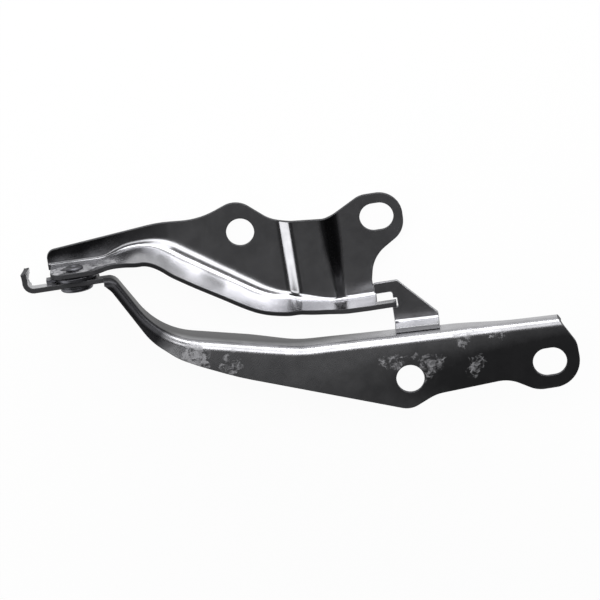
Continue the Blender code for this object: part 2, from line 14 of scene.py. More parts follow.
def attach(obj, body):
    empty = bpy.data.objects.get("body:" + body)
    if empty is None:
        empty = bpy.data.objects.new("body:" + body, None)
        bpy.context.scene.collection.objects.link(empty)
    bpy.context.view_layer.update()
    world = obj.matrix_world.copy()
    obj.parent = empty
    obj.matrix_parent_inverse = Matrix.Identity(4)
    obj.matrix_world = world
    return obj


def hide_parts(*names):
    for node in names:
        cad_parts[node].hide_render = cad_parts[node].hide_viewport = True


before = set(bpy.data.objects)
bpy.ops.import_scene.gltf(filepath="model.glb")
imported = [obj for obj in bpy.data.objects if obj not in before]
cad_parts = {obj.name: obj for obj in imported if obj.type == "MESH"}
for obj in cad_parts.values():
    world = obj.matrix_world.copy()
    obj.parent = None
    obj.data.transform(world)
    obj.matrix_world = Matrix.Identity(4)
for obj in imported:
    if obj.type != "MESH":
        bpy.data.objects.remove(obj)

bl_info = {
    "name": "Bonnet Hinge",
    "version": (1, 0, 0),
    "blender": (4, 5, 0),
    "location": "3D View > Sidebar > Bonnet Hinge",
    "description": "A riveted bonnet hinge of pressed, black-plated steel on a pale stage",
    "category": "Object",
}

MM = 0.001

# Places are in millimetres from the pivot's axis and the bolting face; SEAT is where the
# row's frame has its origin there.
SEAT = Vector((84.3, 0.9, 0.0))
PIVOT_Z = 14.0
# How far a cutting tool reaches past what it cuts
BEYOND = 60.0
BODY_HOLE = (84.3, 11.9)
BODY_SLOT = (152.8, 9.2)
BONNET_HOLE = (157.9, -66.5)
BONNET_SLOT = (227.9, -68.7)

# The stack on the rivet, along Y
BRACKET_FACE = 8.9
SPACER_FACE, SPACER_BACK = 6.1, 4.5
ARM_FACE = 4.2
WASHER_FACE, WASHER_BACK = 1.4, 0.8
HEAD_FACE, HEAD_BACK, END_FACE = 0.5, -1.5, 9.2
# Clearance of the bores on the shank, and of the catch off the arm's web
PIECE_GAP = 0.3

# The rivet's turned outline, as (radius, rise) from HEAD_BACK and from END_FACE, and the
# stamped discs on it
HEAD_R = 8.2
RIVET_HEAD = ((0.0, 0.0), (5.2, 0.0), (7.6, 0.15), (HEAD_R, 0.75))
RIVET_END = ((4.7, 0.0), (4.55, 0.6), (3.9, 1.15), (3.0, 1.3), (2.1, 1.2), (1.6, 0.7),
             (0.0, 0.6))
WASHER_R, SPACER_R = 8.5, 10.5
SPACER_EAR_HALF, SPACER_EAR_REACH = 3.0, 14.6
SPACER_CUT = (2.0, 8.6)
TURNED_EDGE, STAMPED_EDGE = 0.12, 0.15

# Body bracket: plan lines of its fold and outline, as (x, y, corner radius), then its bend's
# radius, its web's lean in degrees and the height of the web's edge, as (x, value)
BRACKET_FOLD = ((-18.4, BRACKET_FACE, 0.0), (14.8, BRACKET_FACE, 20.0), (38.5, 16.6, 32.0),
                (93.9, -21.8, 40.0), (128.8, -30.2, 60.0), (168.7, -30.2, 0.0))
BRACKET_PLAN = ((-13.4, -60.0, 0.0), (-13.4, 16.3, 4.5), (44.8, 22.9, 60.0), (64.8, 21.3, 40.0),
                (84.9, 28.9, 12.0), (101.3, 14.8, 18.0), (129.3, 12.3, 14.0), (145.8, 21.1, 11.9),
                (166.2, 21.1, 11.9), (165.6, 0.0, 11.9), (148.2, -10.8, 18.0),
                (145.6, -22.7, 0.0), (145.6, -25.2, 0.0), (156.4, -25.2, 0.0),
                (156.4, -60.0, 0.0))
BRACKET_BEND = ((12.8, 1.5), (31.8, 4.0), (54.8, 10.0), (84.8, 9.0), (104.8, 4.5), (121.8, 2.0))
BRACKET_TILT = ((14.8, 0.0), (32.8, 18.0), (54.8, 30.0), (80.8, 28.0), (140.8, 0.5))
BRACKET_EDGE = ((8.8, 22.6), (16.8, 19.0), (32.8, 17.7), (60.8, 17.4), (96.8, 16.3),
                (120.8, 19.2), (142.8, 24.0))
# Its flange's top, the slope to its tip in degrees, and the runs of its pressed bridge
BRACKET_TOP, TIP_FROM, TIP_FALL = 2.5, 48.8, 4.0
BRIDGE_UP, BRIDGE_DOWN = (103.0, 110.4), (125.3, 132.8)
# What is cut from its web: the end, under the tongue, a relief and two round holes
WEB_END_X, WEB_END_R, WEB_TOP, WEB_CLEAR = -12.2, 7.0, 22.6, 0.4
TONGUE_X, TONGUE_LOW, TONGUE_FACE = (146.5, 158.9), 17.5, -27.7
RELIEF_X, RELIEF_TOP, RELIEF_R = (4.6, 10.6), 7.6, 1.5
RIVET_BORE_R = 3.8
GAUGE_HOLE, GAUGE_HOLE_R = (-5.6, 12.6), 1.2
# Along Y, where tools that cut the upright web start, and where they end
WEB_CUT_BACK, END_CUT, RELIEF_CUT, BORE_CUT = 3.9, 9.3, 8.5, 11.4

# Bonnet arm: the same lines, with a stop finger at the tail, a boss and a rising neck
FINGER_FROM, FINGER_TIP, FINGER_LEAN = -20.0, 12.2, 9.5
ARM_FOLD = ((-24.9, FINGER_TIP, 0.0), (-23.5, ARM_FACE, 3.5), (19.6, ARM_FACE, 6.0),
            (37.6, -26.8, 38.0), (105.8, -42.5, 60.0), (248.8, -47.9, 0.0))
ARM_PLAN = ((-60.0, 14.7, 0.0), (-60.0, 0.8, 0.0), (14.4, 0.8, 0.0), (17.4, -2.4, 0.8),
            (33.0, -29.6, 30.0), (45.3, -39.4, 30.0), (73.8, -52.6, 150.0),
            (155.7, -82.3, 11.0), (169.5, -76.4, 20.0), (206.5, -74.4, 18.0),
            (219.5, -82.2, 14.0), (243.3, -82.2, 13.9), (242.7, -61.1, 10.0),
            (234.6, -46.4, 4.0), (234.6, 14.7, 0.0))
ARM_EDGE = ((13.8, -2.0), (16.8, 17.0), (78.8, 17.0), (103.8, 20.8), (153.8, 22.6),
            (178.8, 24.8), (214.8, 31.0))
ARM_BEND, ARM_TOP = 4.5, 40.0
ARM_RISE_FROM, ARM_RISE, ARM_RISE_RUN = 15.8, 13.0, 39.0
BOSS_R, BOSS_FROM, BOSS_TO = 12.0, 173.8, 374.5
NECK_X, NECK_TOP, NECK_END = 14.1, 22.5, (32.8, 17.0)
FINGER_LOW, FINGER_STEP = 10.814, (-22.3, 15.3)
BUSH_BORE_R, BUSH_CUT = 5.5, (-0.8, 6.7)

# Catch hook: a plain L whose hook is cut in plan
CATCH_X, CATCH_TOP, CATCH_EDGE, CATCH_BEND = (143.8, 178.7), 20.0, 33.0, 1.5
CATCH_PLAN = ((154.1, -60.0, 0.0), (176.2, -60.0, 0.0), (176.2, -39.8, 0.0),
              (158.4, -20.4, 1.2), (146.3, -20.4, 1.2), (146.3, -25.8, 1.2),
              (155.1, -25.8, 1.2), (155.1, -29.1, 0.0), (157.0, -29.1, 0.4),
              (157.0, -33.8, 0.4), (154.1, -33.8, 0.4))

# Painted shade, as (centre, reaches, strength, fade): darker, duller patches laid where shade
# falls;
# and lighter streaked patches, as (x, y, z, radius, cover): handling smears and painted sheen
# Bracket: painted shade on the flange's sloped left end and on the bridge's right ramp
BRACKET_PAINTED_SHADE = (((-20.0, 20.0, -1.0), (110.0, 17.0, 5.0), 1.0, 0.6),
                 ((128.6, 10.0, 3.0), (6.0, 40.0, 6.0), 0.95, 0.3))
# Arm: painted shade on the hanging web, on the neck, and on the flange past the neck
ARM_PAINTED_SHADE = (((80.0, -30.0, 12.0), (85.0, 60.0, 29.0), 1.0, 0.35),
             ((20.0, -12.0, 28.0), (36.0, 32.0, 30.0), 1.0, 0.3),
             ((250.0, -69.0, 40.0), (160.0, 25.0, 5.0), 0.85, 0.5))
# Bracket: painted sheen, lighter streaked patches on the web round the pivot
BRACKET_PAINTED_SHEEN = ((-9.0, 9.0, 13.0, 14.0, 1.2), (4.0, 9.0, 14.0, 14.0, 1.2),
                  (16.0, 9.0, 12.0, 13.0, 1.15))
# Arm: the first five are handling smears on the flange; the last two are a painted highlight on
# the neck's bend
ARM_SMEARS_AND_SHEEN = ((151.0, -57.0, 40.0, 13.0, 1.0), (168.0, -62.0, 40.0, 14.0, 1.0),
              (191.0, -64.0, 40.0, 9.0, 1.0), (186.0, -51.0, 40.0, 11.0, 1.0),
              (204.0, -51.0, 40.0, 8.0, 1.0), (55.0, -40.0, 39.0, 15.0, 1.15),
              (69.0, -45.0, 40.0, 12.0, 1.0))

# Sizes of the patterns in the finishes, in millimetres: mottling, waviness, fine grain and
# the streaks of smears and painted sheen
CLOUD, WAVE, GRAIN, STREAK = 9.0, 6.0, 0.5, 3.0
WAVE_DEPTH = 0.03
# How ragged a painted shade's border is and where it ends, as shares of its reach, and how much
# rougher the plating is under it
SHADE_RAGGED, SHADE_END, SHADE_DULLING = 0.12, 1.06, 0.07
# How ragged the border of a smear and of a painted sheen is, in millimetres, with the half that
# centres it
SMEAR_AND_SHEEN_RAGGED, SMEAR_AND_SHEEN_SHIFT, SMEAR_AND_SHEEN_DULLING = 24.0, 12.0, 0.45
ARM_ROUGHER = 1.3
EDGE_ROUGHNESS, WELD_ROUGHNESS, STEEL_ROUGHNESS, BRONZE_ROUGHNESS = 0.65, 0.55, 0.38, 0.45

# Soft boxes, as (name, way from the hinge, size in metres, share of the key lamp's power)
SOFTBOXES = (("low_softbox", (0.2, 1.0, 0.27), (1.7, 0.3), 1.0),
             ("high_softbox", (0.0, 0.43, 1.0), (1.4, 0.36), 0.4),
             ("middle_softbox", (0.14, 1.0, 0.86), (0.46, 0.6), 0.17),
             ("side_softbox", (-1.0, -0.1, 0.4), (0.5, 0.85), 0.25))
SOFTBOX_FAR = 1.0
STAGE_MIDDLE = Vector((0.02, -0.02, 0.02))
FLOOR_HALF, FLOOR_WHITE = 6.0, 0.95
# The picture's middle, right of and below the pivot's place on the bolting face
PICTURE_RIGHT, PICTURE_BELOW = 0.1125, 0.010
PICTURE_FROM = Vector((0.0855, 0.0009, 0.0))

# Steps in meshes: angles in degrees, lengths in millimetres
CORNER_STEP, CIRCLE_STEP, STATION_STEP, BEND_STEPS, SPIN_STEPS = 4.0, 5.0, 1.2, 8, 72


class HingeSizes(bpy.types.PropertyGroup):
    """Sizes of the hinge that a user would change."""

    sheet: bpy.props.FloatProperty(
        name="Sheet", description="Thickness of the pressed sheet, in millimetres", default=2.5,
        min=0.5)
    edge_round: bpy.props.FloatProperty(
        name="Edge round", description="Rounding of the sheared edges, in millimetres",
        default=0.3, min=0.0)
    bolt_hole: bpy.props.FloatProperty(
        name="Bolt hole", description="Width of the bolt holes and slots, in millimetres",
        default=14.0, min=1.0)
    slot_length: bpy.props.FloatProperty(
        name="Slot length", description="Length of the bolt slots, in millimetres", default=17.0,
        min=1.0)
    bridge_rise: bpy.props.FloatProperty(
        name="Bridge rise", description="Rise of the bracket's pressed bridge, in millimetres",
        default=3.0)
    shank: bpy.props.FloatProperty(
        name="Shank", description="Diameter of the rivet's shank, in millimetres", default=7.0)


class HingeFinishes(bpy.types.PropertyGroup):
    """Colours and gloss of the hinge's finishes."""

    plate: bpy.props.StringProperty(
        name="Plating", description="Black passivated zinc plating, sRGB hex", default="#98989B")
    plate_light: bpy.props.StringProperty(
        name="Light plating", description="Plating where it is thin, sRGB hex", default="#AEAEB1")
    # Painted shade: the dark colour laid where shade falls.
    painted_shade: bpy.props.StringProperty(
        name="Bath film", description="Darker film that the bath left in places, sRGB hex",
        default="#2C2C2E")
    sheared: bpy.props.StringProperty(
        name="Sheared edge", description="Dull plating on the sheared edges, sRGB hex",
        default="#4A4A4C")
    # Colour of the lighter streaks: handling smears, and painted sheen and highlight.
    dust_and_sheen: bpy.props.StringProperty(
        name="Dust", description="Smears of handling on the plating, sRGB hex", default="#B0B0B3")
    phosphate: bpy.props.StringProperty(
        name="Phosphate", description="Phosphated steel of rivet, spacer and washer, sRGB hex",
        default="#505054")
    bronze: bpy.props.StringProperty(
        name="Bronze", description="Sintered bronze of the bush, sRGB hex", default="#8C7350")
    floor: bpy.props.StringProperty(
        name="Floor", description="Pale floor and backdrop, sRGB hex", default="#F4F4F4")
    plate_roughness: bpy.props.FloatProperty(
        name="Plating roughness", description="Roughness of the clean plating", default=0.21,
        min=0.0, max=1.0)


class HingeStage(bpy.types.PropertyGroup):
    """Floor, lamps and camera."""

    floor_level: bpy.props.FloatProperty(
        name="Floor level", description="Height of the floor", default=-0.0045, unit="LENGTH")
    key_power: bpy.props.FloatProperty(
        name="Key lamp", description="Power of the low soft box, which the others follow",
        default=14.0, unit="POWER")
    camera_turn: bpy.props.FloatProperty(
        name="Camera turn", description="Turn of the photograph's view about the vertical",
        default=math.radians(9.0), unit="ROTATION")
    camera_height: bpy.props.FloatProperty(
        name="Camera height", description="Angle of the photograph's view above the floor",
        default=math.radians(76.0), unit="ROTATION")
    camera_far: bpy.props.FloatProperty(
        name="Camera distance", description="Distance of the long lens", default=8.0,
        unit="LENGTH")
    picture_width: bpy.props.FloatProperty(
        name="Picture width", description="Width that the photograph takes in", default=0.3,
        unit="LENGTH")


def linear(code):
    """An sRGB hex colour as the linear RGBA that shaders take."""
    values = [int(code.lstrip("#")[at:at + 2], 16) / 255.0 for at in (0, 2, 4)]
    return (*[v / 12.92 if v <= 0.04045 else ((v + 0.055) / 1.055) ** 2.4 for v in values], 1.0)


def add(tree, kind, links=None, **settings):
    """Adds a node; settings are its properties or input values, links feed its inputs."""
    made = tree.nodes.new(kind)
    for key, value in settings.items():
        if hasattr(made, key):
            setattr(made, key, value)
        else:
            made.inputs[key.replace("_", " ")].default_value = value
    for name, source in (links or {}).items():
        tree.links.new(source, made.inputs[name])
    return made


def blank(name):
    """A material with an empty tree but for its shader and output."""
    made = bpy.data.materials.new(name)
    made.use_nodes = True
    return made, made.node_tree, made.node_tree.nodes["Principled BSDF"]


def black_zinc(name, roughness, shade_patches=(), smears_and_sheen=()):
    """Zinc plating over pressed steel, passivated black: a dark, cold, glossy metal.

    The eye sees near black where it mirrors the ceiling and near white where it mirrors a
    soft box, fine mottling from the bath, and faint waviness from the pressing. shade_patches are
    (centre, reaches along x, y and z, strength, fade) in millimetres: painted shade, darker and
    duller patches laid where shade falls. smears_and_sheen are (x, y, z, radius, cover): lighter,
    duller streaked patches, handling smears in some places and painted sheen and highlight in
    others, with more than half covered where cover is over 1.
    """
    look = bpy.context.scene.hinge_finishes
    made, tree, shader = blank(name)
    place = add(tree, "ShaderNodeTexCoord").outputs["Object"]
    cloud = add(tree, "ShaderNodeTexNoise", {"Vector": place}, Scale=1.0 / (CLOUD * MM),
                Detail=5.0, Roughness=0.65)
    wave = add(tree, "ShaderNodeTexNoise", {"Vector": place}, Scale=1.0 / (WAVE * MM),
               Detail=1.0)
    grit = add(tree, "ShaderNodeTexNoise", {"Vector": place}, Scale=1.0 / (GRAIN * MM),
               Detail=2.0)
    thin = add(tree, "ShaderNodeMapRange", {"Value": cloud.outputs["Fac"]},
               From_Min=0.3, From_Max=0.7)
    colour = add(tree, "ShaderNodeMix", {"Factor": thin.outputs["Result"]}, data_type="RGBA")
    colour.inputs["A"].default_value = linear(look.plate)
    colour.inputs["B"].default_value = linear(look.plate_light)
    tint = colour.outputs["Result"]
    gloss = add(tree, "ShaderNodeMapRange", {"Value": grit.outputs["Fac"]},
                To_Min=roughness * 0.85, To_Max=roughness * 1.15).outputs["Result"]
    # Painted shade: each patch darkens and dulls the plating where shade falls.
    for centre, reaches, strength, fade in shade_patches:
        local = add(tree, "ShaderNodeVectorMath", {0: place}, operation="SUBTRACT")
        local.inputs[1].default_value = (Vector(centre) - SEAT) * MM
        local = add(tree, "ShaderNodeVectorMath", {0: local.outputs[0]}, operation="DIVIDE")
        local.inputs[1].default_value = Vector(reaches) * MM
        far = add(tree, "ShaderNodeVectorMath", {0: local.outputs[0]}, operation="LENGTH")
        ragged = add(tree, "ShaderNodeMath", {0: cloud.outputs["Fac"], 2: far.outputs["Value"]},
                     operation="MULTIPLY_ADD")
        ragged.inputs[1].default_value = SHADE_RAGGED
        painted_shade = add(tree, "ShaderNodeMapRange", {"Value": ragged.outputs[0]},
                   From_Min=SHADE_END - fade, From_Max=SHADE_END, To_Min=strength, To_Max=0.0)
        dark = add(tree, "ShaderNodeMix", {"Factor": painted_shade.outputs[0], "A": tint},
                   data_type="RGBA")
        dark.inputs["B"].default_value = linear(look.painted_shade)
        tint = dark.outputs["Result"]
        gloss = add(tree, "ShaderNodeMath", {0: painted_shade.outputs[0], 2: gloss},
                    operation="MULTIPLY_ADD")
        gloss.inputs[1].default_value = SHADE_DULLING
        gloss = gloss.outputs[0]
    # Lighter streaked patches: handling smears, and painted sheen and highlight.
    for x, y, z, radius, cover in smears_and_sheen:
        spot = add(tree, "ShaderNodeVectorMath", {0: place}, operation="DISTANCE")
        spot.inputs[1].default_value = (Vector((x, y, z)) - SEAT) * MM
        uneven = add(tree, "ShaderNodeMath", {0: cloud.outputs["Fac"], 2: spot.outputs["Value"]},
                     operation="MULTIPLY_ADD")
        uneven.inputs[1].default_value = SMEAR_AND_SHEEN_RAGGED * MM
        near = add(tree, "ShaderNodeMapRange", {"Value": uneven.outputs[0]},
                   From_Min=(radius + SMEAR_AND_SHEEN_SHIFT) * MM,
                   From_Max=(0.4 * radius + SMEAR_AND_SHEEN_SHIFT) * MM, To_Max=cover)
        streak = add(tree, "ShaderNodeTexNoise", {"Vector": place}, Scale=1.0 / (STREAK * MM),
                     Detail=8.0, Roughness=0.75, Distortion=0.8)
        streaked = add(tree, "ShaderNodeMath", {0: streak.outputs["Fac"], 1: near.outputs[0]},
                     operation="MULTIPLY")
        mark = add(tree, "ShaderNodeMapRange", {"Value": streaked.outputs[0]}, From_Min=0.47,
                   From_Max=0.64)
        dust_and_sheen_tint = add(tree, "ShaderNodeMix", {"Factor": mark.outputs[0], "A": tint},
                    data_type="RGBA")
        dust_and_sheen_tint.inputs["B"].default_value = linear(look.dust_and_sheen)
        tint = dust_and_sheen_tint.outputs["Result"]
        dull = add(tree, "ShaderNodeMath", {0: mark.outputs[0], 2: gloss},
                   operation="MULTIPLY_ADD")
        dull.inputs[1].default_value = SMEAR_AND_SHEEN_DULLING
        gloss = dull.outputs[0]
    bump = add(tree, "ShaderNodeBump", {"Height": wave.outputs["Fac"]}, Strength=0.25,
               Distance=WAVE_DEPTH * MM)
    tree.links.new(tint, shader.inputs["Base Color"])
    tree.links.new(gloss, shader.inputs["Roughness"])
    tree.links.new(bump.outputs["Normal"], shader.inputs["Normal"])
    shader.inputs["Metallic"].default_value = 1.0
    return made


def sheared_edge(look):
    """The same plating on a sheared edge: rough from the die, so an even dull dark grey."""
    name = "black_zinc_sheared_edge"
    return bpy.data.materials.get(name) or dull_metal(name, look.sheared, EDGE_ROUGHNESS)


def dull_metal(name, code, roughness):
    """Phosphated and oiled steel, plating on a cut edge, or sintered bronze.

    The eye sees one even tone without a clear reflection, broken by fine crystals.
    """
    made, tree, shader = blank(name)
    place = add(tree, "ShaderNodeTexCoord").outputs["Object"]
    grain = add(tree, "ShaderNodeTexNoise", {"Vector": place}, Scale=1.0 / (GRAIN * MM),
                Detail=3.0)
    tone = add(tree, "ShaderNodeMapRange", {"Value": grain.outputs["Fac"]}, To_Min=0.75,
               To_Max=1.3)
    colour = add(tree, "ShaderNodeVectorMath", {"Scale": tone.outputs["Result"]},
                 operation="SCALE")
    colour.inputs[0].default_value = linear(code)[:3]
    gloss = add(tree, "ShaderNodeMapRange", {"Value": grain.outputs["Fac"]},
                To_Min=roughness * 0.85, To_Max=roughness * 1.2)
    bump = add(tree, "ShaderNodeBump", {"Height": grain.outputs["Fac"]}, Strength=0.15,
               Distance=WAVE_DEPTH * MM)
    tree.links.new(colour.outputs["Vector"], shader.inputs["Base Color"])
    tree.links.new(gloss.outputs["Result"], shader.inputs["Roughness"])
    tree.links.new(bump.outputs["Normal"], shader.inputs["Normal"])
    shader.inputs["Metallic"].default_value = 1.0
    return made


def ease(low, high, value):
    """A smooth step from 0 at low to 1 at high."""
    share = min(1.0, max(0.0, (value - low) / (high - low)))
    return share * share * (3.0 - 2.0 * share)


def follow(keys, x):
    """A value that passes smoothly through a few (x, value) keys."""
    for (x0, v0), (x1, v1) in zip(keys, keys[1:]):
        if x <= x1:
            return v0 + (v1 - v0) * ease(x0, x1, x)
    return keys[-1][1]


def rounded(corners, closed=True):
    """Points of a line whose corners (x, y, radius) are rounded by arcs."""
    points = []
    for index, (x, y, radius) in enumerate(corners):
        here = Vector((x, y))
        if radius <= 0.0 or not closed and index in (0, len(corners) - 1):
            points.append(here)
            continue
        before = (Vector(corners[index - 1][:2]) - here).normalized()
        after = (Vector(corners[(index + 1) % len(corners)][:2]) - here).normalized()
        half = before.angle(after) / 2.0
        centre = here + (before + after).normalized() * (radius / math.sin(half))
        start = here + before * (radius / math.tan(half)) - centre
        turn = math.pi - 2.0 * half
        side = 1.0 if before.x * after.y - before.y * after.x < 0.0 else -1.0
        steps = max(2, math.ceil(math.degrees(turn) / CORNER_STEP))
        points += [centre + Matrix.Rotation(side * turn * at / steps, 2) @ start
                   for at in range(steps + 1)]
    return points


def circle(centre, radius, first=0.0, last=360.0):
    """Points on a circle between two angles in degrees."""
    steps = max(2, math.ceil(abs(last - first) / CIRCLE_STEP))
    turns = [math.radians(first + (last - first) * at / steps) for at in range(steps + 1)]
    return [(centre[0] + radius * math.cos(a), centre[1] + radius * math.sin(a)) for a in turns]


def walk(corners):
    """Stations (point, direction) along a rounded open line, STATION_STEP apart at most."""
    line = rounded(corners, closed=False)
    dense = [line[0]]
    for start, end in zip(line, line[1:]):
        pieces = max(1, math.ceil((end - start).length / STATION_STEP))
        dense += [start.lerp(end, at / pieces) for at in range(1, pieces + 1)]
    return [(point, (dense[min(at + 1, len(dense) - 1)] - dense[max(at - 1, 0)]).normalized())
            for at, point in enumerate(dense)]


def keep(name, shape, material=None):
    """A bmesh in millimetres as an object at the origin, in the row's frame."""
    bmesh.ops.translate(shape, verts=shape.verts, vec=-SEAT)
    bmesh.ops.scale(shape, verts=shape.verts, vec=(MM, MM, MM))
    mesh = bpy.data.meshes.new(name)
    shape.to_mesh(mesh)
    shape.free()
    made = bpy.data.objects.new(name, mesh)
    bpy.context.scene.collection.objects.link(made)
    if material:
        mesh.materials.append(material)
    return made


def plate(name, outline, low, high, along_y=False, material=None):
    """An outline in plan, or in side view, pushed through from low to high."""
    shape = bmesh.new()
    ring = [shape.verts.new((x, low, y) if along_y else (x, y, low)) for x, y in outline]
    face = shape.faces.new(ring)
    pushed = bmesh.ops.extrude_face_region(shape, geom=[face])
    moved = [item for item in pushed["geom"] if isinstance(item, bmesh.types.BMVert)]
    rise = (0.0, high - low, 0.0) if along_y else (0.0, 0.0, high - low)
    bmesh.ops.translate(shape, verts=moved, vec=rise)
    bmesh.ops.recalc_face_normals(shape, faces=shape.faces)
    return keep(name, shape, material)


def hole_outline(centre, length, sizes):
    """Plan outline of a bolt hole, or of a slot that is longer along X."""
    half = (length - sizes.bolt_hole) / 2.0
    radius = sizes.bolt_hole / 2.0
    right = circle((centre[0] + half, centre[1]), radius, -90.0, 90.0)
    left = circle((centre[0] - half, centre[1]), radius, 90.0, 270.0)
    return right + left if half > 0.0 else right[:-1] + left[:-1]


def bent_sheet(name, fold, side, up, level, bend, tilt, edge, flange_y, sheet, materials):
    """A sheet L along its plan line: one grid whose columns run from flange to web edge.

    side is +1 with the flange left of the line, up is +1 with the web standing up. The
    second of the materials goes on the cut edges.
    """
    stations = walk(fold)
    columns = BEND_STEPS + 3
    shape = bmesh.new()
    bmesh.ops.create_grid(shape, x_segments=len(stations) - 1, y_segments=columns - 1, size=1.0)
    for vert in shape.verts:
        row = round((vert.co.x + 1.0) / 2.0 * (len(stations) - 1))
        column = round((vert.co.y + 1.0) / 2.0 * (columns - 1))
        point, direction = stations[row]
        across = Vector((-direction.y, direction.x)) * side
        lean, radius = math.radians(tilt(point)), bend(point)
        reach = abs(edge(point) - level(point.x))
        run = radius * math.tan((math.pi / 2.0 - lean) / 2.0)
        turn = (math.pi / 2.0 - lean) * max(0, column - 1) / BEND_STEPS
        place = point + across * (run - radius * math.sin(turn))
        rise = radius * (1.0 - math.cos(turn))
        height = level(place.x) + up * rise
        if column == 0:
            place.y = flange_y
        if column == columns - 1:
            place = point - across * reach * math.tan(lean)
            height = level(point.x) + up * reach
        vert.co = (place.x, place.y, height)
    if side * up < 0.0:
        bmesh.ops.reverse_faces(shape, faces=shape.faces)
    made = keep(name, shape)
    solid = made.modifiers.new("sheet", "SOLIDIFY")
    solid.thickness = sheet * MM
    solid.offset = up
    solid.use_even_offset = True
    solid.material_offset_rim = 1
    for material in materials:
        made.data.materials.append(material)
    return made


def cut(target, tools, operation="DIFFERENCE"):
    """Boolean cuts by named solids, whose walls take the target's edge material."""
    for tool in tools:
        tool.data.materials.append(target.data.materials[-1])
        change = target.modifiers.new(tool.name, "BOOLEAN")
        change.operation, change.object, change.solver = operation, tool, "EXACT"
        change.material_mode = "TRANSFER"


def finish_pressing(rough, tools, name, edge_round):
    """The cut sheet as one clean mesh, with its sheared edges rounded."""
    seen = rough.evaluated_get(bpy.context.evaluated_depsgraph_get())
    mesh = bpy.data.meshes.new_from_object(seen)
    for thing in (rough, *tools):
        bpy.data.objects.remove(thing, do_unlink=True)
    shape = bmesh.new()
    shape.from_mesh(mesh)
    bmesh.ops.remove_doubles(shape, verts=shape.verts, dist=0.002 * MM)
    bmesh.ops.dissolve_limit(shape, angle_limit=math.radians(0.15), verts=shape.verts,
                             edges=shape.edges, use_dissolve_boundaries=False,
                             delimit={"MATERIAL"})
    bmesh.ops.recalc_face_normals(shape, faces=shape.faces)
    for face in shape.faces:
        face.smooth = True
    shape.to_mesh(mesh)
    shape.free()
    mesh.name = name
    made = bpy.data.objects.new(name, mesh)
    bpy.context.scene.collection.objects.link(made)
    bevel = made.modifiers.new("sheared_edges", "BEVEL")
    bevel.width = edge_round * MM
    bevel.segments = 3
    bevel.limit_method = "ANGLE"
    bevel.angle_limit = math.radians(40.0)
    bevel.use_clamp_overlap = False
    bevel.loop_slide = False
    bevel.harden_normals = True
    bevel.material = len(mesh.materials) - 1
    return made


def turned(name, profile, material, edges=0.0):
    """A body turned about the pivot's axis from (radius, y) corners; sharp ones are rounded."""
    shape = bmesh.new()
    verts = [shape.verts.new((radius, y, PIVOT_Z)) for radius, y in profile]
    line = [shape.edges.new(pair) for pair in zip(verts, verts[1:])]
    if profile[0][0] > 0.0:
        line.append(shape.edges.new((verts[-1], verts[0])))
    bmesh.ops.spin(shape, geom=verts + line, cent=(0.0, 0.0, PIVOT_Z), axis=(0.0, 1.0, 0.0),
                   angle=math.tau, steps=SPIN_STEPS, use_merge=True, use_duplicate=False)
    bmesh.ops.remove_doubles(shape, verts=shape.verts, dist=0.001)
    bmesh.ops.recalc_face_normals(shape, faces=shape.faces)
    if edges > 0.0:
        sharp = [edge for edge in shape.edges
                 if edge.is_manifold and edge.calc_face_angle() > math.radians(30.0)]
        bmesh.ops.bevel(shape, geom=sharp, offset=edges, segments=3, profile=0.5,
                        affect="EDGES", material=-1, clamp_overlap=True)
    for face in shape.faces:
        face.smooth = True
    made = keep(name, shape, material)
    made.data.set_sharp_from_angle(angle=math.radians(50.0))
    return made


def enter(piece, body, slot, *nodes):
    """Puts a finished piece on its body, in the place of its CAD node."""
    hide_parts(*nodes)
    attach(piece, body)


def bracket_level(x, rise):
    """Height of the bracket flange's top: it falls to the tip and rises in the bridge."""
    sloped = max(0.0, TIP_FROM - x) * math.tan(math.radians(TIP_FALL))
    bridge = ease(*BRIDGE_UP, x) - ease(*BRIDGE_DOWN, x)
    return BRACKET_TOP - sloped + rise * bridge


def arm_level(x):
    """Height of the arm flange's top: low at the neck, up a gooseneck, then level."""
    share = (x - ARM_RISE_FROM) * ARM_RISE / ARM_RISE_RUN
    short = ARM_RISE - 0.5 * (share + math.hypot(share, 1.0))
    return ARM_TOP - 0.5 * (short + math.hypot(short, 1.0))


def finger_lean(at):
    """The stop finger twists towards its tip."""
    return FINGER_LEAN * ease(ARM_FACE, FINGER_TIP, at.y) if at.x < FINGER_FROM else 0.0


